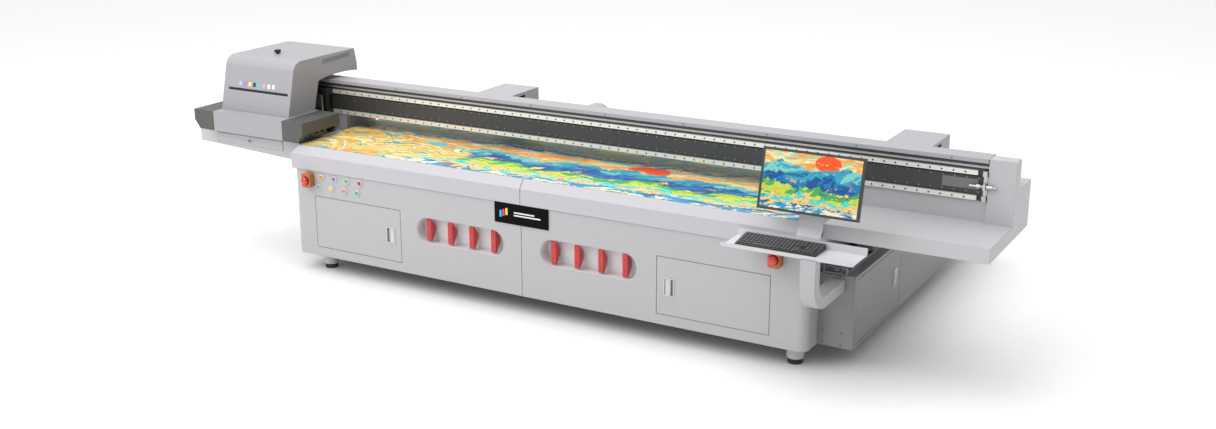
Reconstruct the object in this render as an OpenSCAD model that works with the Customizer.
// Flatbed UV printer: a vacuum table on a boxed base, a gantry that travels
// along the table, and a print carriage that crosses it.
// x runs along the gantry, y from the front face to the back, z up.
// Lengths are laid out from the body's front left corner, then centred.

/* [Body] */
// Width of the body between its side faces
body_w = 3375; // [3300:5:4200]
// Depth of the body behind its front face
body_d = 1960; // [1900:10:2200]
// Height of the body's bottom edge above the floor
body_bottom = 109; // [95:1:140]
// Height of the table's bottom edge above the floor
table_bottom = 651; // [640:1:800]
// Radius of the body's vertical front corners
corner_r = 45; // [15:1:60]
// Thickness of the sheet metal panels
sheet_t = 3; // [2:0.5:4]
// Gap between neighbouring panels and round each door
panel_gap = 3; // [2:0.5:4]
// Offset of the middle seam from the body's centre
seam_offset = -22; // [-60:1:60]
// Depth of the front panels' side returns
return_d = 157; // [130:1:200]

/* [Table] */
// Overhang of the table's edge beyond the body
table_overhang = 7; // [3:1:12]
// Height of the table's upright edge
table_edge_h = 93; // [80:1:110]
// Width of the sloping border round the bed
bevel_w = 40; // [30:1:60]
// Height of the sloping border round the bed
bevel_h = 51; // [40:1:70]
// Depth of the vacuum bed
bed_d = 1650; // [1400:10:1700]
// Spacing of the suction holes in the bed
hole_pitch = 200; // [150:10:400]
// Radius of the suction holes
hole_r = 4; // [2:0.5:8]
// Depth of the printed board lying on the bed
board_d = 1600; // [600:10:1630]
// Thickness of the printed board
board_t = 3; // [1:0.5:6]
// Margin of bed left bare round the printed board
board_margin = 6; // [2:1:60]

/* [Doors] */
// Width of each front door
door_w = 648; // [500:1:700]
// Height of each front door
door_h = 322; // [260:1:360]
// Height of the front doors above the body's bottom edge
door_rise = 60; // [40:1:90]
// Distance from the left side face to the left door
door_left_inset = 164; // [140:1:220]
// Distance from the right side face to the right door
door_right_inset = 204; // [150:1:260]
// Depth of a door's folded edge
door_fold = 18; // [14:1:24]
// Distance of a door's hinge line from its edge and face
hinge_inset = 10; // [8:1:14]
// Radius of a hinge pin
hinge_r = 4; // [3:0.5:6]
// Length of a hinge pin beyond the door
hinge_l = 12; // [8:1:20]
// Width of a door latch
latch_w = 52; // [44:1:70]
// Height of a door latch
latch_h = 88; // [70:1:110]
// Distance from the door's free edge to the latch
latch_inset = 48; // [30:1:80]
// Depth of the latch's cup behind the door's face
latch_depth = 16; // [12:1:24]
// Width of the finger slot beside the latch paddle
latch_slot = 18; // [14:1:22]

/* [Rail boxes] */
// Depth of the rail boxes behind the front face
rail_d = 2350; // [2330:10:2800]
// Width of the boxes beside the body that hold the long guides
rail_box_w = 192; // [180:1:240]
// Height of the top of the rail boxes above the floor
rail_box_top = 504; // [480:1:560]
// Width of the left rail box
left_box_w = 165; // [160:1:200]
// Distance of the left rail box behind the front face
left_box_front = 330; // [300:1:500]
// Width of the slot along the top of a rail box
slot_w = 118; // [114:1:124]
// Depth of the side door, along the body
side_door_d = 675; // [500:1:800]
// Distance of the side door behind the right box's front
side_door_inset = 33; // [20:1:60]
// Height of the side door
side_door_h = 352; // [300:1:360]

/* [Front panel fittings] */
// Length of a valve recess
recess_l = 612; // [580:1:640]
// Height of a valve recess
recess_h = 158; // [150:1:175]
// Depth of a valve recess
recess_depth = 72; // [60:1:80]
// Height of the recesses' middle above the body's bottom edge
recess_rise = 289; // [260:1:310]
// Distance from the middle seam to each recess
recess_inset = 120; // [100:1:140]
// Spacing of the valve handles
valve_pitch = 151; // [140:1:155]
// Length of a valve handle
handle_l = 137; // [120:1:145]
// Width of a valve handle
handle_w = 34; // [26:1:40]
// Radius of a valve stem
stem_r = 8; // [6:0.5:10]
// Spacing of the push buttons
button_pitch = 99; // [80:1:110]
// Radius of a push button's cap
button_r = 12; // [9:0.5:14]
// Radius of a push button's bezel
bezel_r = 17; // [15:0.5:20]
// Travel of a push button
button_travel = 4; // [2:0.5:6]
// Width of an emergency stop housing
estop_w = 68; // [60:1:80]
// Height of an emergency stop housing
estop_h = 88; // [80:1:100]
// Depth of an emergency stop housing
estop_depth = 45; // [36:1:60]
// Radius of an emergency stop button
estop_r = 24; // [20:1:30]
// Width of the sign plate
sign_w = 356; // [300:1:420]
// Height of the sign plate
sign_h = 119; // [100:1:125]

/* [Gantry] */
// Distance of the guide rails' front behind the body's front face
rail_front = 530; // [500:1:600]
// Gap between the bed and the bottom of the beam
beam_rise = 80; // [70:1:120]
// Height of the beam
beam_h = 213; // [205:1:230]
// Depth of the front part of the beam
beam_front_d = 95; // [80:1:120]
// Depth of the whole beam
beam_d = 285; // [240:1:300]
// Length of the gantry to the left of the body
gantry_left = 900; // [860:1:1100]
// Length of the gantry to the right of the body
gantry_right = 850; // [820:1:1100]
// Width of the right end's upright wall
end_wall_w = 135; // [120:1:200]
// Thickness of the right end's shelf
shelf_t = 77; // [60:1:80]
// Distance of the shelves' front behind the body's front face
shelf_front = 133; // [120:1:200]
// Depth of the end housings' back behind the rails' front
housing_back = 320; // [300:1:360]
// Width of a linear rail
rail_w = 23; // [15:1:25]
// Height of a linear rail
rail_h = 20; // [14:1:22]
// Running clearance of a slide on its rail
rail_clear = 0.2; // [0.1:0.05:0.5]
// Height of the lower rail's middle above the beam's bottom
low_rail_rise = 17; // [14:1:22]
// Height of the upper rail's middle above the beam's bottom
high_rail_rise = 147; // [140:1:150]
// Width of each box on the beam's back
rear_box_w = 245; // [200:1:300]
// Depth that each rear box stands out behind the gantry
rear_box_out = 115; // [90:1:160]

/* [Carriage] */
// Distance of the carriage's middle to the left of the body
carriage_out = 374; // [370:1:460]
// Width of the front cover between the lamps
cover_w = 572; // [540:2:620]
// Width of the carriage over its lamps
lamps_w = 902; // [860:2:960]
// Distance of the carriage's front behind the body's front face
carriage_front = 15; // [15:1:60]
// Depth of a lamp housing
lamp_d = 352; // [320:1:360]
// Height of a lamp housing
lamp_h = 123; // [110:1:130]
// Clearance between the bed and the lamps
lamp_rise = 12; // [9:1:20]
// Height of the hood above the lamps
hood_h = 333; // [320:1:380]
// Width of the hood
hood_w = 562; // [520:2:570]
// Depth of the hood over the beam
hood_d = 683; // [660:1:700]
// Radius of the knob on top of the hood
knob_r = 22; // [16:1:30]
// Radius of the hood's front top edge
hood_r = 78; // [60:1:100]
// Backward lean of the hood's front from bottom to top
hood_lean = 90; // [60:1:110]
// Thickness of the hood's shell
hood_t = 4; // [3:0.5:6]

/* [Desk] */
// Width of the keyboard tray
tray_w = 681; // [600:1:760]
// Depth of the keyboard tray
tray_d = 220; // [200:1:260]
// Gap between the tray and the table's edge
tray_gap = 38; // [30:1:60]
// Thickness of the tray's support arm
arm_t = 62; // [50:1:70]
// Width of the tray's support arm
arm_w = 78; // [60:1:100]
// Width of the keyboard
keyboard_w = 425; // [380:1:450]
// Depth of the keyboard
keyboard_d = 142; // [120:1:160]
// Width of the monitor
monitor_w = 528; // [480:1:620]
// Height of the monitor
monitor_h = 308; // [280:1:360]
// Thickness of the monitor's screen panel
monitor_t = 20; // [18:1:30]
// Backward tilt of the monitor
monitor_tilt = 13; // [10:1:16]
// Width of the monitor's stand
neck_w = 126; // [100:1:160]

/* [Hidden] */

// Fineness of circles
$fn = 48;
// Small overlap that lets one cut run past another
eps = 1;
// Radial clearance of pins and stems in their holes
pin_clear = 0.05;
// Gap left between moving pieces and what they pass
move_gap = 0.3;

// Levels of the table and the gantry
bed_z = table_bottom + table_edge_h + bevel_h;
bed_bottom = table_bottom + table_edge_h - sheet_t;
bed_t = bed_z - bed_bottom;
beam_z = bed_z + beam_rise;
beam_top = beam_z + beam_h;
cover_top = beam_top + 10;
shelf_z = bed_z - 105;
shelf_top = shelf_z + shelf_t;

// Outline of the table and the bed
table_x0 = -table_overhang;
table_x1 = body_w + table_overhang;
table_y0 = -table_overhang;
table_y1 = body_d + table_overhang;
bed_x0 = table_x0 + bevel_w;
bed_x1 = table_x1 - bevel_w;
bed_y0 = table_y0 + bevel_w;
bed_y1 = bed_y0 + bed_d;
seam_x = body_w / 2 + seam_offset;

// Ends of the gantry and the whole machine's middle
gantry_x0 = -gantry_left;
gantry_x1 = body_w + gantry_right;
tray_y1 = table_y0 - tray_gap;
tray_y0 = tray_y1 - tray_d;
centre_x = (gantry_x0 + gantry_x1) / 2;
centre_y = (tray_y0 + rail_d) / 2;

// Rail boxes and the long guides inside them
right_box_x0 = body_w;
right_box_x1 = body_w + rail_box_w;
guide_half = 55;
right_guide_x = right_box_x0 + slot_w / 2 + 21;
left_guide_x = -left_box_w / 2 - 2;
guide_z = rail_box_top - 24;
guide_base_h = 20;
guide_rail_z = guide_z + guide_base_h;

// Welded frame
tube = 80;
tube_wall = 5;
seat = 0.2;
frame_x = [161, seam_x, body_w - 100];
frame_y = [120, body_d / 2, body_d - 120];
outrigger_z = guide_z - tube;
cross_y = [600, frame_y[1] + tube + seat, frame_y[2] - tube - seat];
foot_hole_r = 12.5;

// Doors
door_z = body_bottom + door_rise;
left_door_x = door_left_inset;
right_door_x = body_w - door_right_inset - door_w;
side_door_y = return_d + side_door_inset;
side_door_z = body_bottom + 20;
lug_t = 8;

// Valves, switches
recess_z = body_bottom + recess_rise;
recess_x = [seam_x - recess_inset - recess_l / 2, seam_x + recess_inset + 4 + recess_l / 2];
valve_x = [for (r = recess_x) for (i = [-1.5, -0.5, 0.5, 1.5]) r + i * valve_pitch];
handle_y = 12;
handle_depth = 48;
valve_body_d = 60;
valve_wall_y = sheet_t + recess_depth;
estop_z = table_bottom - 57;
estop_x = [132, body_w - 171];
button_x0 = 227;
button_row_z = [table_bottom - 29, table_bottom - 93];
button_row_shift = -25;
bezel_out = 14;

// Carriage
carriage_x = -carriage_out;
lamp_z = bed_z + lamp_rise;
lamp_top = lamp_z + lamp_h;
cover_z = lamp_z - 4;
rails_back = rail_front + rail_h;
low_rail_z = beam_z + low_rail_rise;
high_rail_z = beam_z + high_rail_rise;
slide_half = rail_w / 2 + 8;
track_h = high_rail_z - low_rail_z - 2 * slide_half - 3;
plate_t = 30;
plate_y1 = rail_front - 30;
plate_y0 = plate_y1 - plate_t;
plate_half_w = 290;
lift_guide_x = [carriage_x - 190, carriage_x + 190];
lift_guide_half = 10;
lift_guide_h = 20;
hood_x0 = carriage_x - 12 - hood_w / 2;
hood_y0 = carriage_front + 87;
hood_z0 = lamp_top + 1;
hood_z1 = hood_z0 + hood_h;
hood_arm_z = cover_top + 20;
knob_place = [carriage_x - 36, carriage_front + 360];
knob_stem_r = 5;
head_plate_z = cover_z + 6;
head_plate_t = 6;

// Desk
tray_z = table_bottom + 52;
tray_front_lip = 19;
tray_back_lip = 32;
tray_x1 = body_w + 315;
tray_x0 = tray_x1 - tray_w;
arm_x0 = right_guide_x - 24;
arm_z = min(tray_z - 285, rail_box_top - arm_t - 24);
arm_r = 150;
keyboard_x0 = tray_x0 + 52;
keyboard_y0 = tray_y0 + 57;
neck_x0 = tray_x0 + 309;
neck_t = 4;
neck_y = table_y0 - 1;
monitor_x0 = tray_x0 + 112;
monitor_z = bed_z + 64;
monitor_y = tray_y1 - 13;
monitor_pin_y = monitor_t + 12;
monitor_pin_z = 140;
monitor_pin_r = 6;

// ---------- helpers ----------

// Moves everything so that the origin is under the machine's middle
module centred() {
  translate([-centre_x, -centre_y, 0]) children();
}

// A box between two corners
module block(low, high) {
  translate(low) cube(high - low);
}

// Extrudes a (y, z) outline along x
module along_x(x0, x1) {
  translate([x0, 0, 0]) rotate([90, 0, 90]) linear_extrude(x1 - x0) children();
}

// Extrudes an (x, z) outline along y
module along_y(y0, y1) {
  translate([0, y1, 0]) rotate([90, 0, 0]) linear_extrude(y1 - y0) children();
}

// Extrudes an (x, y) outline along z
module along_z(z0, z1) {
  translate([0, 0, z0]) linear_extrude(z1 - z0) children();
}

// A rectangle with round corners
module round_rect(low, high, r) {
  translate([low[0] + r, low[1]]) square([high[0] - low[0] - 2 * r, high[1] - low[1]]);
  translate([low[0], low[1] + r]) square([high[0] - low[0], high[1] - low[1] - 2 * r]);
  for (x = [low[0] + r, high[0] - r])
    for (y = [low[1] + r, high[1] - r])
      translate([x, y]) circle(r);
}

// A slot with round ends, centred
module stadium(l, h) {
  square([l - h, h], center = true);
  for (side = [-1, 1])
    translate([side * (l - h) / 2, 0]) circle(h / 2);
}

// A hollow box: an outer box less an inner one
module shell(low, high, t) {
  difference() {
    block(low, high);
    block(low + [t, t, t], high - [t, t, t]);
  }
}

// Left-hand normal of the line from a to b
function edge_normal(a, b) = let (d = (b - a) / norm(b - a)) [-d[1], d[0]];

// The corner p between a and b, moved inwards by t
function inset_corner(a, p, b, t) =
  let (n1 = edge_normal(a, p), n2 = edge_normal(p, b)) p + t * (n1 + n2) / (1 + n1 * n2);

// An anticlockwise outline moved inwards by t
function inset(points, t) =
  let (n = len(points))
  [for (i = [0 : n - 1]) inset_corner(points[(i + n - 1) % n], points[i], points[(i + 1) % n], t)];

// Points along an arc, with both ends
function arc(c, r, a0, a1, steps) =
  [for (i = [0 : steps]) let (a = a0 + (a1 - a0) * i / steps) c + r * [cos(a), sin(a)]];

// ---------- base ----------

// A square tube between two corners, closed at its ends
module tube_bar(low, high) {
  shell(low, high, tube_wall);
}

function foot_places() = [
  for (i = [0, 1, 2]) for (j = [0, 1, 2]) if (!(i == 1 && j == 0)) [frame_x[i], frame_y[j]]
];

module base_frame() {
  half = tube / 2;
  low = body_bottom;
  top = bed_bottom;
  color("dimgray") centred() difference() {
    union() {
      // Bars along x, lowest and highest
      for (y = frame_y)
        for (z = [low, top - half])
          tube_bar([frame_x[0] - half, y - half, z], [frame_x[2] + half, y + half, z + half]);
      // Bars along y, between the bars along x and the columns
      for (x = frame_x)
        for (z = [low + half + seat, top - tube])
          tube_bar([x - half, frame_y[0] - half, z], [x + half, frame_y[2] + half, z + half - seat]);
      // Columns
      for (x = frame_x)
        for (y = frame_y)
          tube_bar([x - half, y - half, low + tube + seat], [x + half, y + half, top - tube - seat]);
      // Cross bars that carry the two outriggers, and the posts under the first
      for (y = cross_y)
        tube_bar([left_guide_x - half, y - half, outrigger_z - half],
                 [right_guide_x + half, y + half, outrigger_z - seat]);
      for (x = frame_x)
        tube_bar([x - half, cross_y[0] - half, low + tube + seat],
                 [x + half, cross_y[0] + half, outrigger_z - half - seat]);
      // Outriggers under the long guides
      tube_bar([left_guide_x - guide_half, left_box_front + 20, outrigger_z],
               [left_guide_x + guide_half, rail_d - 20, guide_z]);
      tube_bar([right_guide_x - guide_half, return_d + 25, outrigger_z],
               [right_guide_x + guide_half, rail_d - 20, guide_z]);
    }
    for (p = foot_places())
      translate([p[0], p[1], body_bottom - eps]) cylinder(r = foot_hole_r, h = tube_wall + 2 * eps);
  }
}

// Plan of the front panels: a wide channel with round corners
module front_channel() {
  intersection() {
    difference() {
      round_rect([0, 0], [body_w, 2 * return_d], corner_r);
      round_rect([sheet_t, sheet_t], [body_w - sheet_t, 2 * return_d - sheet_t], corner_r - sheet_t);
    }
    square([body_w, return_d]);
  }
}

// Cut-out for a front door in the panel
module door_cut(x0, z0, w, h) {
  block([x0 - panel_gap, -eps, z0 - panel_gap], [x0 + w + panel_gap, sheet_t + eps, z0 + h + panel_gap]);
}

// Two lugs behind the panel that hold a door's hinge pins
module hinge_lugs(x, z0, h) {
  for (z = [z0 - panel_gap - lug_t, z0 + h + panel_gap])
    difference() {
      block([x - 12, sheet_t, z], [x + 12, sheet_t + 24, z + lug_t]);
      translate([x, hinge_inset, z - eps]) cylinder(r = hinge_r + pin_clear, h = lug_t + 2 * eps);
    }
}

module recess_cut(x) {
  along_y(-eps, sheet_t + eps) translate([x, recess_z]) stadium(recess_l, recess_h);
}

module switch_hole(x, z, r) {
  translate([x, sheet_t + eps, z]) rotate([90, 0, 0]) cylinder(r = r, h = sheet_t + 2 * eps);
}

function button_place(i) =
  [button_x0 + (i % 4) * button_pitch + (i < 4 ? 0 : button_row_shift), button_row_z[i < 4 ? 0 : 1]];

module front_panel_left() {
  hinge_x = left_door_x + hinge_inset;
  color("gainsboro") centred() {
    difference() {
      along_z(body_bottom, table_bottom)
        intersection() {
          front_channel();
          square([seam_x - panel_gap / 2, return_d]);
        }
      door_cut(left_door_x, door_z, door_w, door_h);
      recess_cut(recess_x[0]);
      for (i = [0 : 7])
        switch_hole(button_place(i)[0], button_place(i)[1], button_r - 2);
      switch_hole(estop_x[0], estop_z, estop_r / 2);
    }
    hinge_lugs(hinge_x, door_z, door_h);
  }
}

module front_panel_right() {
  hinge_x = right_door_x + door_w - hinge_inset;
  color("gainsboro") centred() {
    difference() {
      along_z(body_bottom, table_bottom)
        intersection() {
          front_channel();
          translate([seam_x + panel_gap / 2, 0]) square([body_w, return_d]);
        }
      door_cut(right_door_x, door_z, door_w, door_h);
      recess_cut(recess_x[1]);
      switch_hole(estop_x[1], estop_z, estop_r / 2);
    }
    hinge_lugs(hinge_x, door_z, door_h);
  }
}

// Front plate, outer side and top strips of a rail box, open below and towards the body
module rail_box_front(x0, x1, y0) {
  block([x0, y0, body_bottom], [x1, y0 + sheet_t, rail_box_top - sheet_t - seat]);
}

module rail_box_strips(x0, x1, guide_x, y0) {
  z0 = rail_box_top - sheet_t;
  y1 = rail_d - sheet_t - seat;
  block([x0, y0, z0], [guide_x - slot_w / 2, y1, rail_box_top]);
  block([guide_x + slot_w / 2, y0, z0], [x1, y1, rail_box_top]);
}

module body_panels() {
  y0 = return_d + panel_gap;
  y1 = body_d - sheet_t - seat;
  y2 = rail_d - sheet_t - seat;
  left_x0 = -left_box_w;
  low_top = rail_box_top - sheet_t - seat;
  color("gainsboro") centred() {
    // Left side skin: full height in front of the rail box, above it behind
    block([0, y0, body_bottom], [sheet_t, left_box_front - seat, table_bottom]);
    block([0, left_box_front, rail_box_top + seat], [sheet_t, y1, table_bottom]);
    // Right side skin above the rail box
    block([body_w - sheet_t, y0, rail_box_top + seat], [body_w, y1, table_bottom]);
    // Back panel
    block([0, body_d - sheet_t, body_bottom], [body_w, body_d, table_bottom]);
    // Left rail box, with an inner side where it stands out behind the body
    block([left_x0, rail_d - sheet_t, body_bottom], [-seat, rail_d, rail_box_top]);
    rail_box_front(left_x0, -seat, left_box_front);
    block([left_x0, left_box_front + sheet_t + seat, body_bottom], [left_x0 + sheet_t, y2, low_top]);
    block([-sheet_t - seat, body_d - 20, body_bottom], [-seat, y2, low_top]);
    rail_box_strips(left_x0, -seat, left_guide_x, left_box_front);
  }
}

module right_rail_box() {
  slot_x0 = right_guide_x - slot_w / 2;
  slot_x1 = right_guide_x + slot_w / 2;
  cap_t = 18;
  cap_top = rail_box_top + 37;
  low_top = rail_box_top - sheet_t - seat;
  wall_x = right_box_x1 - sheet_t;
  door_y0 = side_door_y - panel_gap;
  door_y1 = side_door_y + side_door_d + panel_gap;
  door_z0 = side_door_z - panel_gap;
  door_z1 = side_door_z + side_door_h + panel_gap;
  first_y = side_door_y + side_door_d + 20;
  side_y = [first_y, (first_y + rail_d) / 2 - 45, rail_d - sheet_t - seat];
  color("gainsboro") centred() {
    rail_box_front(right_box_x0 + seat, right_box_x1 - sheet_t - seat, return_d);
    rail_box_strips(right_box_x0 + seat, right_box_x1, right_guide_x, return_d);
    block([right_box_x0 + seat, rail_d - sheet_t, body_bottom], [right_box_x1, rail_d, rail_box_top]);
    block([right_box_x0 + seat, body_d - 20, body_bottom], [right_box_x0 + sheet_t + seat, side_y[2], low_top]);
    // Outer side: four strips round the door's opening, then two panels
    block([wall_x, return_d, body_bottom], [right_box_x1, door_y0, low_top]);
    block([wall_x, door_y1, body_bottom], [right_box_x1, side_y[0], low_top]);
    block([wall_x, door_y0 + seat, body_bottom], [right_box_x1, door_y1 - seat, door_z0]);
    block([wall_x, door_y0 + seat, door_z1], [right_box_x1, door_y1 - seat, low_top]);
    for (i = [1, 2])
      block([wall_x, side_y[i - 1] + panel_gap / 2, body_bottom], [right_box_x1, side_y[i], low_top]);
    // Raised cap with a window at the slot's front end
    difference() {
      block([slot_x0 - 4, return_d, rail_box_top + seat], [slot_x1 + 6, return_d + cap_t, cap_top]);
      block([slot_x0 + 3, return_d - eps, rail_box_top + 7],
            [slot_x1 - 1, return_d + cap_t + eps, cap_top - 4]);
    }
    // Lugs for the side door's hinge pins
    for (z = [side_door_z - panel_gap - lug_t, side_door_z + side_door_h + panel_gap])
      difference() {
        block([right_box_x1 - sheet_t - 24, side_door_y + hinge_inset - 12, z],
              [right_box_x1 - sheet_t, side_door_y + hinge_inset + 12, z + lug_t]);
        translate([right_box_x1 - hinge_inset, side_door_y + hinge_inset, z - eps])
          cylinder(r = hinge_r + pin_clear, h = lug_t + 2 * eps);
      }
  }
}

// Table edge and sloping border, drawn in by t on every outer face
module table_outline(t) {
  edge_top = table_bottom + table_edge_h;
  slope = bevel_w - t;
  back = bed_y1 + bevel_w - t;
  block([table_x0 + t, table_y0 + t, table_bottom - (t > 0 ? eps : 0)],
        [table_x1 - t, table_y1 - t, edge_top - t]);
  intersection() {
    along_x(table_x0 + t, table_x1 - t)
      polygon([[table_y0 + t, edge_top - t - eps], [back, edge_top - t - eps], [back, edge_top - t],
               [bed_y1, bed_z - t], [bed_y0, bed_z - t], [table_y0 + t, edge_top - t]]);
    along_y(table_y0 + t, back)
      polygon([[table_x0 + t, edge_top - t - eps], [table_x1 - t, edge_top - t - eps],
               [table_x1 - t, edge_top - t], [bed_x1, bed_z - t], [bed_x0, bed_z - t],
               [table_x0 + t, edge_top - t]]);
  }
}

module table_rim() {
  color("whitesmoke") centred() difference() {
    table_outline(0);
    table_outline(sheet_t);
    block([bed_x0, bed_y0, bed_bottom - tube], [bed_x1, bed_y1, bed_z + eps]);
    block([seam_x - panel_gap / 2, table_y0 - eps, table_bottom - eps],
          [seam_x + panel_gap / 2, table_y1 + eps, bed_z + eps]);
  }
}

module vacuum_bed() {
  nx = floor((bed_x1 - bed_x0 - 2 * hole_pitch / 2) / hole_pitch);
  ny = floor((bed_d - 2 * hole_pitch / 2) / hole_pitch);
  mid_x = (bed_x0 + bed_x1) / 2;
  mid_y = (bed_y0 + bed_y1) / 2;
  color("silver") centred() difference() {
    block([bed_x0, bed_y0, bed_bottom], [bed_x1, bed_y1, bed_z]);
    for (i = [0 : nx])
      for (j = [0 : ny])
        translate([mid_x + (i - nx / 2) * hole_pitch, mid_y + (j - ny / 2) * hole_pitch, bed_bottom - eps])
          cylinder(r = hole_r, h = bed_t + 2 * eps);
  }
}

module printed_board() {
  color("orange") centred()
    block([bed_x0 + board_margin, bed_y0 + board_margin, bed_z],
          [bed_x1 - board_margin, bed_y0 + board_margin + board_d, bed_z + board_t]);
}

module valve_trays() {
  wall = 2.5;
  lip = 7;
  y0 = sheet_t;
  color("lightgray") centred()
    for (k = [0, 1])
      difference() {
        union() {
          along_y(y0, y0 + recess_depth) translate([recess_x[k], recess_z]) stadium(recess_l, recess_h);
          along_y(y0, y0 + wall) translate([recess_x[k], recess_z])
            stadium(recess_l + 2 * lip, recess_h + 2 * lip);
        }
        along_y(y0 - eps, y0 + recess_depth - wall) translate([recess_x[k], recess_z])
          stadium(recess_l - 2 * wall, recess_h - 2 * wall);
        for (i = [0 : 3])
          translate([valve_x[4 * k + i], y0 + recess_depth + eps, recess_z])
            rotate([90, 0, 0]) cylinder(r = stem_r + 1, h = wall + 2 * eps);
      }
}

module vacuum_unit() {
  body_r = 24;
  pipe_r = 34;
  pipe_y = frame_y[0] + tube / 2 + 20 + pipe_r;
  body_y0 = valve_wall_y;
  pump_w = 240;
  pump_y = pipe_y + 200;
  pump_z = body_bottom + tube + seat;
  pump_top = pump_z + 160;
  motor_r = 70;
  riser_y = pump_y - 60;
  color("slategray") centred() {
    // Valve bodies behind the recesses, on one manifold pipe
    difference() {
      union() {
        for (x = valve_x)
          translate([x, pipe_y, recess_z]) rotate([90, 0, 0]) cylinder(r = body_r, h = pipe_y - body_y0);
        translate([valve_x[0] - 60, pipe_y, recess_z]) rotate([0, 90, 0])
          cylinder(r = pipe_r, h = valve_x[7] - valve_x[0] + 120);
        // Pipe back to the pump
        translate([seam_x, pipe_y, recess_z]) rotate([-90, 0, 0])
          cylinder(r = pipe_r - 6, h = riser_y - pipe_y + pipe_r);
        translate([seam_x, riser_y, pump_top - eps]) cylinder(r = pipe_r - 8, h = recess_z - pump_top + eps);
      }
      for (x = valve_x)
        translate([x, body_y0 + valve_body_d, recess_z]) rotate([90, 0, 0])
          cylinder(r = stem_r + pin_clear, h = valve_body_d + eps);
    }
    // Pump block and motor, standing on the frame's bottom bar
    block([seam_x - pump_w / 2, pump_y - pump_w / 2, pump_z], [seam_x + pump_w / 2, pump_y + pump_w / 2, pump_top]);
    translate([seam_x + pump_w / 2, pump_y, pump_z + motor_r + 5]) rotate([0, 90, 0])
      cylinder(r = motor_r, h = pump_w);
  }
}

module ink_rack() {
  shelf_z0 = body_bottom + tube / 2 + seat;
  shelf_h = 4;
  tank = [58, 150, 190];
  pitch = 70;
  x0 = right_door_x + 45;
  y0 = frame_y[0] + tube / 2 + 60;
  color("dimgray") centred() {
    block([x0 - 20, frame_y[0] - tube / 2, shelf_z0],
          [frame_x[2] - tube / 2 - seat, y0 + tank[1] + 20, shelf_z0 + shelf_h]);
    for (i = [0 : 7])
      translate([x0 + i * pitch, y0, shelf_z0 + shelf_h]) {
        cube(tank);
        translate([tank[0] / 2, tank[1] / 3, tank[2]]) cylinder(r = 18, h = 22);
      }
  }
}

// One long guide: a base bar, a rail and a magnet track
module long_guide(x, y0, y1) {
  block([x - guide_half, y0, guide_z], [x + guide_half, y1, guide_z + guide_base_h]);
  block([x - rail_w / 2, y0, guide_rail_z], [x + rail_w / 2, y1, guide_rail_z + rail_h]);
  block([x + 22, y0, guide_rail_z], [x + 50, y1, guide_rail_z + 8]);
}

module long_guides() {
  color("darkslategray") centred() {
    long_guide(left_guide_x, left_box_front + 22, rail_d - 25);
    long_guide(right_guide_x, return_d + 27, rail_d - 25);
  }
}

module levelling_feet() {
  cup_r = 47;
  pad_r = 40;
  pad_h = 26;
  stem = 11;
  color("gray") centred()
    for (p = foot_places())
      translate([p[0], p[1], 0]) rotate_extrude()
        polygon([[0, 0], [pad_r, 0], [pad_r, pad_h], [cup_r, pad_h + 6], [cup_r, body_bottom],
                 [stem, body_bottom], [stem, body_bottom + 30], [0, body_bottom + 30]]);
}

module switch_housings() {
  edge_r = 14;
  color("peru") centred() {
    for (x = estop_x)
      difference() {
        along_y(-estop_depth, 0)
          round_rect([x - estop_w / 2, estop_z - estop_h / 2], [x + estop_w / 2, estop_z + estop_h / 2], edge_r);
        translate([x, eps, estop_z]) rotate([90, 0, 0])
          cylinder(r = estop_r / 2 - 1 + pin_clear, h = estop_depth + 2 * eps);
      }
    for (i = [0 : 7])
      translate([button_place(i)[0], 0, button_place(i)[1]]) rotate([90, 0, 0])
        difference() {
          cylinder(r = bezel_r, h = bezel_out);
          translate([0, 0, -eps]) cylinder(r = button_r + pin_clear, h = bezel_out + 2 * eps);
        }
  }
}

module sign_plate() {
  thick = 6;
  x0 = seam_x + 5 - sign_w / 2;
  z1 = table_bottom - 2;
  color("black") centred() block([x0, -thick, z1 - sign_h], [x0 + sign_w, 0, z1]);
}

// ---------- doors and latches ----------

// An open tray of sheet metal that stands behind a door's face, with its latch cup
// Drawn with the face on y = 0 and the hinge edge at x = 0
module door_leaf(w, h, latch_z) {
  cup_x1 = w - latch_inset;
  cup_x0 = cup_x1 - latch_w;
  cup_z0 = latch_z - latch_h / 2;
  pin_x = cup_x1 - 7;
  difference() {
    union() {
      difference() {
        cube([w, door_fold, h]);
        translate([sheet_t, sheet_t, sheet_t])
          cube([w - 2 * sheet_t, door_fold, h - 2 * sheet_t]);
      }
      // Latch cup
      translate([cup_x0 - 2, 0, cup_z0 - 2]) cube([latch_w + 4, latch_depth, latch_h + 4]);
      // Hinge pins
      for (z = [-hinge_l, h])
        translate([hinge_inset, hinge_inset, z]) cylinder(r = hinge_r, h = hinge_l);
      translate([sheet_t - eps, sheet_t - eps, 0]) cube([hinge_inset + 6, hinge_inset, 8]);
      translate([sheet_t - eps, sheet_t - eps, h - 8]) cube([hinge_inset + 6, hinge_inset, 8]);
    }
    translate([cup_x0, -eps, cup_z0]) cube([latch_w, latch_depth - 2 + eps, latch_h]);
    translate([pin_x, 4, cup_z0 - 2 - eps]) cylinder(r = 2 + pin_clear, h = latch_h + 4 + 2 * eps);
  }
}

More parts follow.
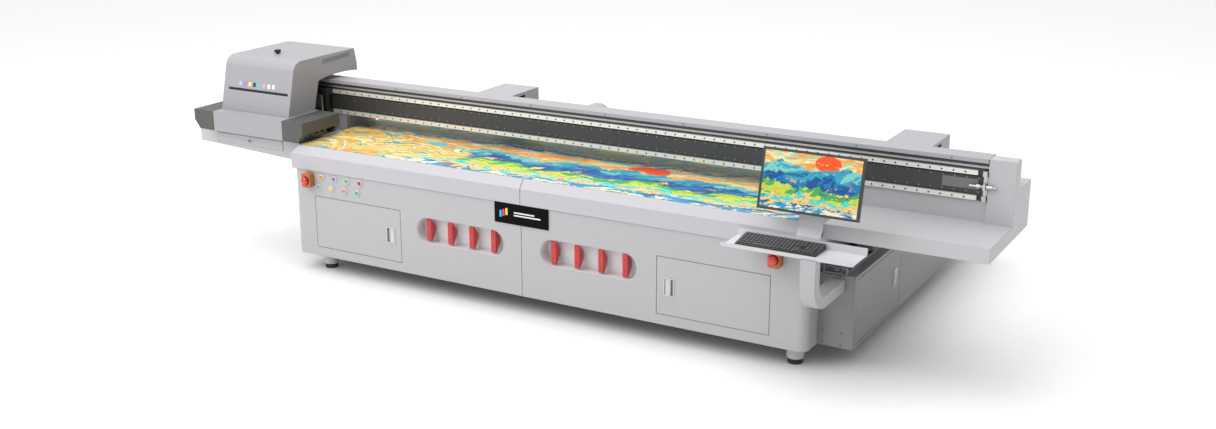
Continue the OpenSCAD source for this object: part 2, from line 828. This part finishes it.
// The paddle that lies in a door's latch cup
module latch_paddle(w, latch_z) {
  cup_x1 = w - latch_inset;
  cup_x0 = cup_x1 - latch_w;
  cup_z0 = latch_z - latch_h / 2;
  pin_x = cup_x1 - 7;
  paddle_x1 = pin_x + 3;
  difference() {
    translate([cup_x0 + latch_slot, -1.5, cup_z0 + 1]) cube([paddle_x1 - cup_x0 - latch_slot, 7, latch_h - 2]);
    translate([cup_x0 + latch_slot + 5, -1.5 - eps, cup_z0 + 8]) cube([5, 1 + eps, latch_h - 16]);
  }
  translate([pin_x, 4, cup_z0 - 1.5]) cylinder(r = 2, h = latch_h + 3);
}

module door_left() {
  color("gainsboro") centred() translate([left_door_x, 0, door_z]) door_leaf(door_w, door_h, door_h / 2 - 3);
}

module latch_left() {
  color("white") centred() translate([left_door_x, 0, door_z]) latch_paddle(door_w, door_h / 2 - 3);
}

module door_right() {
  color("gainsboro") centred() translate([right_door_x + door_w, 0, door_z]) mirror([1, 0, 0])
    door_leaf(door_w, door_h, door_h / 2 - 3);
}

module latch_right() {
  color("white") centred() translate([right_door_x + door_w, 0, door_z]) mirror([1, 0, 0])
    latch_paddle(door_w, door_h / 2 - 3);
}

module side_door() {
  color("gainsboro") centred() translate([right_box_x1, side_door_y, side_door_z]) rotate([0, 0, 90])
    door_leaf(side_door_d, side_door_h, side_door_h / 2 + 10);
}

module latch_side() {
  color("white") centred() translate([right_box_x1, side_door_y, side_door_z]) rotate([0, 0, 90])
    latch_paddle(side_door_d, side_door_h / 2 + 10);
}

// ---------- valves and switches ----------

module valve_handle(i) {
  half = handle_l / 2;
  tip = 10;
  hub = 17;
  stem_end = valve_wall_y + valve_body_d - 4;
  color("crimson") centred() translate([valve_x[i], 0, recess_z]) {
    along_x(-handle_w / 2, handle_w / 2)
      polygon([[handle_y, -half + tip], [handle_y + tip / 2, -half], [handle_y + 14, -half + 3],
               [handle_y + handle_depth, -hub], [handle_y + handle_depth, hub],
               [handle_y + 14, half - 3], [handle_y + tip / 2, half], [handle_y, half - tip]]);
    translate([0, stem_end, 0]) rotate([90, 0, 0]) cylinder(r = stem_r, h = stem_end - handle_y - handle_depth + eps);
  }
}

module push_button(i) {
  cap = bezel_out + 4;
  shank_r = button_r - 3;
  shank = 20;
  color("seagreen") centred() translate([button_place(i)[0], 0, button_place(i)[1]]) {
    rotate([90, 0, 0]) translate([0, 0, button_travel + 1]) cylinder(r = button_r, h = cap - button_travel - 1);
    translate([0, shank, 0]) rotate([90, 0, 0]) cylinder(r = shank_r, h = shank + button_travel + 1 + eps);
  }
}

module estop_button(i) {
  shaft_r = estop_r / 2 - 1;
  head = 17;
  gap = 7;
  color("red") centred() translate([estop_x[i], -estop_depth - gap, estop_z]) rotate([90, 0, 0]) {
    rotate_extrude()
      polygon([[0, 0], [estop_r - 4, 0], [estop_r, 5], [estop_r, 9], [estop_r - 6, head - 1], [6, head], [0, head]]);
    translate([0, 0, -estop_depth - gap - 10]) cylinder(r = shaft_r, h = estop_depth + gap + 10 + eps);
  }
}

module valve_handle_1() { valve_handle(0); }
module valve_handle_2() { valve_handle(1); }
module valve_handle_3() { valve_handle(2); }
module valve_handle_4() { valve_handle(3); }
module valve_handle_5() { valve_handle(4); }
module valve_handle_6() { valve_handle(5); }
module valve_handle_7() { valve_handle(6); }
module valve_handle_8() { valve_handle(7); }
module push_button_1() { push_button(0); }
module push_button_2() { push_button(1); }
module push_button_3() { push_button(2); }
module push_button_4() { push_button(3); }
module push_button_5() { push_button(4); }
module push_button_6() { push_button(5); }
module push_button_7() { push_button(6); }
module push_button_8() { push_button(7); }
module estop_button_left() { estop_button(0); }
module estop_button_right() { estop_button(1); }

// ---------- desk ----------

module keyboard_tray() {
  t = 3;
  fold = 9;
  color("white") centred() along_x(tray_x0, tray_x1)
    polygon([[tray_y0 + fold, tray_z - t], [tray_y1 - fold, tray_z - t], [tray_y1, tray_z + tray_back_lip - t],
             [tray_y1, tray_z + tray_back_lip], [tray_y1 - 4, tray_z + tray_back_lip],
             [tray_y1 - fold - 3, tray_z], [tray_y0 + fold + 3, tray_z],
             [tray_y0 + 4, tray_z + tray_front_lip], [tray_y0, tray_z + tray_front_lip],
             [tray_y0, tray_z + tray_front_lip - t]]);
}

module tray_arm() {
  top = tray_z - 3;
  front = tray_y0 + 3;
  c = [front + arm_r, arm_z + arm_r];
  color("gainsboro") centred() {
    along_x(arm_x0, arm_x0 + arm_w)
      polygon(concat(
        [[front, top]],
        arc(c, arm_r, 180, 270, 12),
        [[return_d, arm_z], [return_d, arm_z + arm_t]],
        arc(c, arm_r - arm_t, 270, 180, 12),
        [[front + arm_t, top]]));
  }
}

module keyboard() {
  front_h = 12;
  back_h = 32;
  y1 = keyboard_y0 + keyboard_d;
  color("darkslategray") centred() along_x(keyboard_x0, keyboard_x0 + keyboard_w)
    polygon([[keyboard_y0, tray_z], [y1, tray_z], [y1, tray_z + back_h], [y1 - 6, tray_z + back_h],
             [keyboard_y0, tray_z + front_h]]);
}

module monitor_stand() {
  x1 = neck_x0 + neck_w;
  foot_z = tray_z + 8;
  knee_z = bed_z - 13;
  y_front = neck_y - neck_t;
  foot_y = tray_y1;
  top_z = monitor_z + monitor_pin_z;
  pin_y = monitor_y + monitor_pin_y;
  ear_x = neck_x0 + neck_w / 2;
  color("gainsboro") centred() {
    along_x(neck_x0, x1)
      polygon([[foot_y, foot_z], [foot_y + neck_t, foot_z], [foot_y + neck_t, foot_z + 30],
               [neck_y, knee_z], [neck_y, top_z + 20], [y_front, top_z + 20], [y_front, knee_z],
               [foot_y, foot_z + 32]]);
    // Pivot block and pin
    block([ear_x - 20, pin_y - 8, top_z - 8], [ear_x + 20, y_front + eps, top_z + 8]);
    translate([ear_x - 34, pin_y, top_z]) rotate([0, 90, 0]) cylinder(r = monitor_pin_r, h = 68);
  }
}

module monitor() {
  bulge = 16;
  bezel = 13;
  pin_z = monitor_pin_z;
  pin = [monitor_pin_y, pin_z];
  ear = 9;
  ear_w = 12;
  mid = neck_x0 + neck_w / 2 - monitor_x0;
  color("dimgray") centred() translate([monitor_x0, monitor_y + pin[0], monitor_z + pin_z])
    rotate([-monitor_tilt, 0, 0]) translate([0, -pin[0], -pin_z]) {
      difference() {
        cube([monitor_w, monitor_t, monitor_h]);
        translate([bezel, -eps, bezel]) cube([monitor_w - 2 * bezel, 1 + eps, monitor_h - 2 * bezel]);
      }
      // Two ears on the back turn on the stand's pin
      difference() {
        for (x = [mid - 33, mid + 21])
          translate([x, monitor_t - eps, pin_z - ear]) cube([ear_w, pin[0] - monitor_t + eps + ear, 2 * ear]);
        translate([mid - 40, pin[0], pin_z]) rotate([0, 90, 0])
          cylinder(r = monitor_pin_r + pin_clear, h = 80);
      }
      // Back housing above and below the ears
      translate([110, monitor_t - eps, pin_z + 30]) cube([monitor_w - 220, bulge, 90]);
      translate([110, monitor_t - eps, 25]) cube([monitor_w - 220, bulge - 6, 80]);
    }
}

// ---------- gantry ----------

module gantry_beam() {
  y0 = rails_back;
  y1 = rails_back + beam_front_d;
  y2 = rails_back + beam_d;
  rear_top = beam_z + 122;
  wall = 8;
  mid = (low_rail_z + high_rail_z) / 2;
  outline = [[y0, beam_z], [y2, beam_z], [y2, rear_top], [y1, rear_top], [y1, beam_top], [y0, beam_top]];
  color("dimgray") centred() {
    along_x(gantry_x0 + 20, gantry_x1 - end_wall_w - 2)
      difference() {
        union() {
          polygon(outline);
          // Two ribs along the front above the upper rail
          translate([y0 - 10, beam_z + 172]) square([10 + eps, 11]);
          translate([y0 - 16, beam_z + 189]) square([16 + eps, 9]);
        }
        polygon(inset(outline, wall));
      }
    // Magnet track between the cross rails
    block([gantry_x0 + 40, rails_back - 9, mid - track_h / 2],
          [gantry_x1 - end_wall_w - 30, rails_back - seat, mid + track_h / 2]);
  }
}

module beam_cover() {
  y0 = rail_front - 4;
  y1 = rails_back + beam_front_d + 5 + sheet_t;
  y2 = rails_back + beam_d + 5 + sheet_t;
  deck = beam_z + 128;
  lip = cover_top - 22;
  low = beam_z + 5;
  t = sheet_t;
  color("lavender") centred() along_x(gantry_x0, gantry_x1 - end_wall_w - 2)
    polygon([[y0, lip], [y0 + t, lip], [y0 + t, cover_top - t], [y1 - t, cover_top - t], [y1 - t, deck - t],
             [y2 - t, deck - t], [y2 - t, low], [y2, low], [y2, deck], [y1, deck], [y1, cover_top],
             [y0, cover_top]]);
}

module cross_rails() {
  x0 = gantry_x0 + 40;
  x1 = gantry_x1 - 189;
  color("whitesmoke") centred()
    for (z = [low_rail_z, high_rail_z])
      block([x0, rail_front, z - rail_w / 2], [x1, rails_back, z + rail_w / 2]);
}

// Height of the left housing's sloping bottom at x
function left_bottom(x) = shelf_z - 40 + 42 * (-20 - x) / (gantry_left - 20);

module left_leg_outline() {
  x0 = left_guide_x - guide_half + 2;
  x1 = left_guide_x + guide_half - 2;
  z0 = guide_rail_z + 45;
  polygon([[x0, z0], [x1, z0], [x1, left_bottom(x1)], [x0, left_bottom(x0)]]);
}

// A slide that straddles a long guide's rail
module leg_slide(x, y0, y1) {
  z1 = guide_rail_z + 45;
  reach = rail_w / 2 + rail_clear;
  difference() {
    block([x - 35, y0, guide_rail_z + 3], [x + guide_half - 2, y1, z1]);
    block([x - reach, y0 - eps, guide_rail_z], [x + reach, y1 + eps, guide_rail_z + rail_h + rail_clear]);
    block([x + reach + 7, y0 - eps, guide_rail_z], [x + guide_half, y1 + eps, guide_rail_z + 14]);
  }
}

module gantry_legs() {
  y0 = rail_front + 30;
  y1 = rail_front + housing_back;
  wall = 8;
  x0 = right_guide_x - guide_half + 2;
  x1 = right_guide_x + guide_half - 2;
  z0 = guide_rail_z + 45;
  color("darkgray") centred() {
    difference() {
      along_y(y0, y1) left_leg_outline();
      block([left_guide_x - guide_half + 2 + wall, y0 + wall, z0 + wall],
            [left_guide_x + guide_half - 2 - wall, y1 - wall, shelf_z]);
    }
    difference() {
      block([x0, y0, z0], [x1, y1, shelf_z]);
      block([x0 + wall, y0 + wall, z0 + wall], [x1 - wall, y1 - wall, shelf_z + eps]);
    }
    leg_slide(left_guide_x, y0 + 5, y1 - 5);
    leg_slide(right_guide_x, y0 + 5, y1 - 5);
  }
}

module right_housing() {
  x0 = table_x1 + 10;
  wall_x0 = gantry_x1 - end_wall_w;
  back = rail_front + housing_back;
  wall_back = rail_front + 90;
  step = shelf_z + 250;
  low = [[shelf_front, shelf_z], [back, shelf_z], [back, beam_z], [rails_back, beam_z],
         [rails_back, shelf_top], [shelf_front, shelf_top]];
  high = [[shelf_front, shelf_z], [back, shelf_z], [back, step], [wall_back, step],
          [wall_back, cover_top], [rail_front, cover_top], [rail_front, shelf_top],
          [shelf_front, shelf_top]];
  color("gainsboro") centred() difference() {
    union() {
      along_x(x0, gantry_x1) polygon(low);
      along_x(wall_x0, gantry_x1) polygon(high);
    }
    along_x(x0 + sheet_t, gantry_x1 - sheet_t) polygon(inset(low, sheet_t));
    along_x(wall_x0 + sheet_t, gantry_x1 - sheet_t) polygon(inset(high, sheet_t));
    // Cable hole in the underside
    translate([wall_x0 + end_wall_w / 2, back - 60, shelf_z - eps]) cylinder(r = 25, h = sheet_t + 2 * eps);
  }
}

// Opening of the waste drawer in the left housing
drawer_x0 = gantry_x0 + 151;
drawer_x1 = gantry_x0 + 702;
drawer_z0 = shelf_z + 13;
drawer_z1 = shelf_top - 5;
drawer_d = 330;

module left_housing() {
  x1 = -20;
  back = rail_front + housing_back;
  t = sheet_t;
  shelf_outline = [[gantry_x0, left_bottom(gantry_x0)], [x1, left_bottom(x1)], [x1, shelf_top],
                   [gantry_x0, shelf_top]];
  rear_outline = [[gantry_x0, left_bottom(gantry_x0)], [x1, left_bottom(x1)], [x1, beam_z],
                  [gantry_x0, beam_z]];
  color("gainsboro") centred() {
    difference() {
      union() {
        along_y(shelf_front, rails_back + eps) polygon(shelf_outline);
        along_y(rails_back, back) polygon(rear_outline);
      }
      along_y(shelf_front + t, rails_back + 2 * t) polygon(inset(shelf_outline, t));
      along_y(rails_back + t, back - t) polygon(inset(rear_outline, t));
      block([drawer_x0 - panel_gap, shelf_front - eps, drawer_z0 - panel_gap],
            [drawer_x1 + panel_gap, shelf_front + t + eps, drawer_z1 + panel_gap]);
    }
    // Runner plate under the drawer
    block([drawer_x0 - 20, shelf_front + t, drawer_z0 - panel_gap - t],
          [drawer_x1 + 20, shelf_front + drawer_d + 40, drawer_z0 - panel_gap]);
    for (x = [drawer_x0 - 20, drawer_x1 + 20 - t])
      block([x, shelf_front + t, drawer_z0 - panel_gap - t], [x + t, shelf_front + drawer_d + 40, shelf_top - t]);
  }
}

module waste_drawer() {
  t = 3;
  body_x0 = drawer_x0 + 8;
  body_x1 = drawer_x1 - 8;
  z0 = drawer_z0 - panel_gap + move_gap;
  knob_x = (drawer_x0 + drawer_x1) / 2;
  knob_z = (drawer_z0 + drawer_z1) / 2;
  color("gainsboro") centred() {
    block([drawer_x0, shelf_front - 2, drawer_z0], [drawer_x1, shelf_front + t, drawer_z1]);
    difference() {
      block([body_x0, shelf_front, z0], [body_x1, shelf_front + drawer_d, drawer_z1 - 4]);
      block([body_x0 + t, shelf_front + t, z0 + t], [body_x1 - t, shelf_front + drawer_d - t, drawer_z1]);
    }
    translate([knob_x, shelf_front - 2, knob_z]) rotate([90, 0, 0]) rotate_extrude()
      polygon([[0, -1], [4, -1], [4, 8], [9, 10], [9, 17], [7, 19], [0, 19]]);
  }
}

// Places of the print heads, in two staggered rows
function head_places() = [
  for (row = [0, 1]) for (i = [0 : 3])
    [carriage_x - 225 + i * 120 + row * 60, carriage_front + 110 + row * 130]
];

module capping_station() {
  pad = [72, 104];
  base_h = 14;
  pad_top = cover_z - 4;
  y0 = shelf_front + 8;
  y1 = carriage_front + 320;
  color("dimgray") centred() {
    block([carriage_x - 280, y0, shelf_top], [carriage_x + 270, y1, shelf_top + base_h]);
    for (p = head_places())
      if (p[1] - pad[1] / 2 > y0 - 70)
        block([p[0] - pad[0] / 2, max(p[1] - pad[1] / 2, y0 + 2), shelf_top + base_h],
              [p[0] + pad[0] / 2, p[1] + pad[1] / 2, pad_top]);
  }
}

rear_box_x = [945, body_w + 145];

module rear_boxes() {
  y0 = rails_back + beam_front_d + 5 + sheet_t;
  y1 = rails_back + beam_d + 5 + sheet_t;
  y2 = y1 + rear_box_out;
  deck = beam_z + 128;
  low = beam_z;
  outline = [[y1, low], [y2, low], [y2, cover_top], [y0, cover_top], [y0, deck], [y1, deck]];
  duct_x = seam_x + 70;
  duct_r = 92;
  color("lavender") centred() {
    for (k = [0, 1])
      difference() {
        along_x(rear_box_x[k], rear_box_x[k] + rear_box_w) polygon(outline);
        along_x(rear_box_x[k] + sheet_t, rear_box_x[k] + rear_box_w - sheet_t)
          polygon(inset(outline, sheet_t));
        // Vent window in the right face
        block([rear_box_x[k] + rear_box_w - sheet_t - eps, y0 + 60, deck + 30],
              [rear_box_x[k] + rear_box_w + eps, y0 + 150, cover_top - 18]);
      }
    // Round duct over the back of the beam
    intersection() {
      translate([duct_x, y0 + 105, deck]) rotate([90, 0, 0]) cylinder(r = duct_r, h = 105);
      block([duct_x - duct_r, y0, deck], [duct_x + duct_r, y0 + 105, deck + duct_r]);
    }
  }
}

module end_bracket() {
  x1 = gantry_x1 - end_wall_w - 4;
  y1 = rails_back;
  mid = (low_rail_z + high_rail_z) / 2;
  rod_y = rail_front - 12;
  rod_r = 6;
  color("gray") centred() {
    // Upright plate with its two fixing blocks
    block([x1 - 20, y1 - 14, low_rail_z - 6], [x1, y1, high_rail_z + 6]);
    for (z = [low_rail_z, high_rail_z])
      block([x1 - 22, rail_front - 10, z - 14], [x1, y1 - 14, z + 14]);
    // Arm that holds the tension rod
    difference() {
      block([x1 - 16, rod_y - 14, mid - 16], [x1 - 2, y1 - 14, mid + 16]);
      translate([x1 - 40, rod_y, mid]) rotate([0, 90, 0]) cylinder(r = rod_r + pin_clear, h = 80);
    }
    // Tension rod with its sleeve and end disc
    translate([x1 - 84, rod_y, mid]) rotate([0, 90, 0]) cylinder(r = rod_r, h = 132);
    translate([x1 + 1, rod_y, mid]) rotate([0, 90, 0]) cylinder(r = rod_r + 5, h = 30);
    translate([x1 - 50, rod_y, mid]) rotate([0, 90, 0]) cylinder(r = rod_r + 6, h = 20);
  }
}

// ---------- carriage ----------

module carriage_plate() {
  x0 = carriage_x - plate_half_w;
  x1 = carriage_x + plate_half_w - 25;
  low = low_rail_z - 25;
  top = high_rail_z + 25;
  slide_l = 110;
  reach = rail_w / 2 + rail_clear;
  mid = (low_rail_z + high_rail_z) / 2;
  color("black") centred() {
    block([x0, plate_y0, low], [x1, plate_y1, top]);
    // Slides on the two cross rails
    for (z = [low_rail_z, high_rail_z])
      for (x = [x0, x1 - slide_l])
        difference() {
          block([x, plate_y1 - eps, z - slide_half], [x + slide_l, rails_back - 3, z + slide_half]);
          block([x - eps, rail_front - rail_clear, z - reach], [x + slide_l + eps, rails_back, z + reach]);
        }
    // Motor coil in front of the magnet track
    block([carriage_x - 150, plate_y1 - eps, mid - 35], [carriage_x + 150, rails_back - 15, mid + 35]);
    // Upright guides for the carriage's lift
    for (x = lift_guide_x)
      block([x - lift_guide_half, plate_y0 - lift_guide_h, low], [x + lift_guide_half, plate_y0 + eps, top]);
  }
}

module print_head_plate() {
  x0 = carriage_x - cover_w / 2 + hood_t;
  x1 = carriage_x + cover_w / 2 - hood_t;
  y0 = carriage_front + hood_t;
  y1 = carriage_front + lamp_d - 4;
  z0 = head_plate_z;
  z1 = z0 + head_plate_t;
  back_y0 = plate_y0 - lift_guide_h - 25;
  back_y1 = back_y0 + 14;
  reach = lift_guide_half + rail_clear;
  low = low_rail_z - 10;
  nose = [60, 92];
  flange = [76, 112];
  color("silver") centred() {
    difference() {
      union() {
        block([x0, y0, z0], [x1, y1, z1]);
        block([x0 + 20, y1 - eps, z0], [x1 - 20, back_y1, z1]);
        block([x0 + 20, back_y0, z0], [x1 - 20, back_y1, low + 130]);
        for (x = lift_guide_x)
          block([x - 28, back_y1 - eps, low + 6], [x + 28, plate_y0 - 2, low + 76]);
      }
      for (p = head_places())
        block([p[0] - nose[0] / 2 - 1, p[1] - nose[1] / 2 - 1, z0 - eps],
              [p[0] + nose[0] / 2 + 1, p[1] + nose[1] / 2 + 1, z1 + eps]);
      for (x = lift_guide_x)
        block([x - reach, plate_y0 - lift_guide_h - rail_clear, low - eps],
              [x + reach, plate_y0, low + 80]);
    }
    // Print heads, each a nose through the plate and a body on it
    for (p = head_places()) {
      block([p[0] - nose[0] / 2, p[1] - nose[1] / 2, cover_z + 1], [p[0] + nose[0] / 2, p[1] + nose[1] / 2, z1]);
      block([p[0] - flange[0] / 2, p[1] - flange[1] / 2, z1], [p[0] + flange[0] / 2, p[1] + flange[1] / 2, z1 + 62]);
    }
  }
}

module front_cover() {
  x0 = carriage_x - cover_w / 2;
  x1 = carriage_x + cover_w / 2;
  y0 = carriage_front;
  y1 = carriage_front + lamp_d;
  color("gainsboro") centred() difference() {
    block([x0, y0, cover_z], [x1, y1, hood_z0]);
    block([x0 + hood_t, y0 + hood_t, cover_z - eps], [x1 - hood_t, y1 + eps, hood_z0 - hood_t]);
    // Cable opening up into the hood
    block([x0 + 60, hood_y0 + 40, hood_z0 - hood_t - eps], [x1 - 80, hood_y0 + 160, hood_z0 + eps]);
  }
}

// Outline of the right lamp in x and z, its inner face at x = 0
function lamp_outline(w) =
  [[0, 0], [w - 42, 0], [w, 55], [w, lamp_h], [0, lamp_h]];

module lamp(side) {
  w = (lamps_w - cover_w) / 2;
  wall = 4;
  y0 = carriage_front;
  y1 = carriage_front + lamp_d;
  outline = lamp_outline(w);
  translate([carriage_x + side * cover_w / 2, 0, lamp_z]) mirror([side < 0 ? 1 : 0, 0, 0]) {
    difference() {
      along_y(y0, y1) polygon(outline);
      along_y(y0 + wall, y1 - wall) polygon(inset(outline, wall));
      // Light opening in the bottom and cooling opening in the outer side
      block([20, y0 + 40, -eps], [w - 60, y1 - 40, wall + eps]);
      block([w - 60, y0 + 45, 14], [w + eps, y1 - 30, 46]);
    }
    // Lamp block and its heat sink
    block([30, y0 + 50, 10], [w - 70, y1 - 50, 60]);
    block([wall, y0 + 90, 60], [w - wall, y1 - 90, 70]);
    for (i = [0 : 3])
      block([w - 62, y0 + 70 + i * 55, 16], [w - 34, y0 + 100 + i * 55, 60]);
  }
}

module uv_lamps() {
  color("dimgray") centred() {
    lamp(1);
    lamp(-1);
  }
}

// Side outline of the hood in y and z: it leans back, rounds over and reaches over the beam
function hood_outline() =
  let (front_z = hood_z1 - hood_r,
       lean = hood_lean * (front_z - hood_z0) / hood_h,
       tilt = atan2(hood_lean, hood_h),
       c = [hood_y0 + lean + hood_r * cos(tilt), front_z],
       back = hood_y0 + hood_d,
       knee = [rail_front - 130, hood_arm_z - 5],
       heel = [hood_y0 + 246, hood_z0],
       arch = back - knee[0])
  concat(
    [[hood_y0, hood_z0], heel, knee],
    [for (i = [1 : 9]) let (u = i / 10) [knee[0] + arch * u, hood_arm_z - 5 + 5 * u + 60 * u * (1 - u)]],
    [[back, hood_arm_z], [back, hood_arm_z + 48], [back - 22, hood_z1]],
    arc(c, hood_r, 90, 180 - tilt, 10));

module hood() {
  x1 = hood_x0 + hood_w;
  outline = hood_outline();
  louvre_y = rail_front - 90;
  color("gainsboro") centred() difference() {
    along_x(hood_x0, x1) polygon(outline);
    along_x(hood_x0 + hood_t, x1 - hood_t) polygon(inset(outline, hood_t));
    // Open where the hood stands on the front cover
    block([hood_x0 + 30, hood_y0 + 20, hood_z0 - eps], [x1 - 30, hood_y0 + 220, hood_z0 + hood_t + eps]);
    // Hole for the knob's stem
    translate([knob_place[0], knob_place[1], hood_z1 - hood_t - eps])
      cylinder(r = knob_stem_r + pin_clear, h = hood_t + 2 * eps);
    // Louvres in both sides
    for (i = [0 : 19])
      translate([hood_x0 - eps, louvre_y + i * 14, hood_z1 - 52 + i * 0.4]) rotate([-18, 0, 0])
        cube([hood_w + 2 * eps, 5, 30]);
    // Ink window across the front
    along_y(hood_y0, hood_y0 + 120)
      translate([hood_x0 + hood_w / 2 + 8, hood_z0 + 133]) stadium(hood_w - 66, 15);
  }
}

// Star knob with five lobes that clamps the hood
module hood_knob() {
  lobe = knob_r * 0.14;
  collar = 8;
  grip = 17;
  inside = 12;
  color("black") centred() translate([knob_place[0], knob_place[1], hood_z1]) {
    translate([0, 0, -hood_t - inside]) cylinder(r = knob_stem_r, h = hood_t + inside + eps);
    translate([0, 0, move_gap]) cylinder(r = knob_r * 0.5, h = collar);
    along_z(collar, collar + grip)
      polygon([for (i = [0 : 59]) (knob_r - lobe + lobe * cos(30 * i)) * [cos(6 * i), sin(6 * i)]]);
  }
}

base_frame();
front_panel_left();
front_panel_right();
body_panels();
right_rail_box();
table_rim();
vacuum_bed();
printed_board();
valve_trays();
vacuum_unit();
ink_rack();
long_guides();
levelling_feet();
switch_housings();
sign_plate();
tray_arm();
keyboard_tray();
keyboard();
monitor_stand();
monitor();
door_left();
door_right();
side_door();
latch_left();
latch_right();
latch_side();
valve_handle_1();
valve_handle_2();
valve_handle_3();
valve_handle_4();
valve_handle_5();
valve_handle_6();
valve_handle_7();
valve_handle_8();
push_button_1();
push_button_2();
push_button_3();
push_button_4();
push_button_5();
push_button_6();
push_button_7();
push_button_8();
estop_button_left();
estop_button_right();
gantry_beam();
beam_cover();
cross_rails();
gantry_legs();
right_housing();
left_housing();
waste_drawer();
capping_station();
rear_boxes();
end_bracket();
carriage_plate();
print_head_plate();
front_cover();
uv_lamps();
hood();
hood_knob();
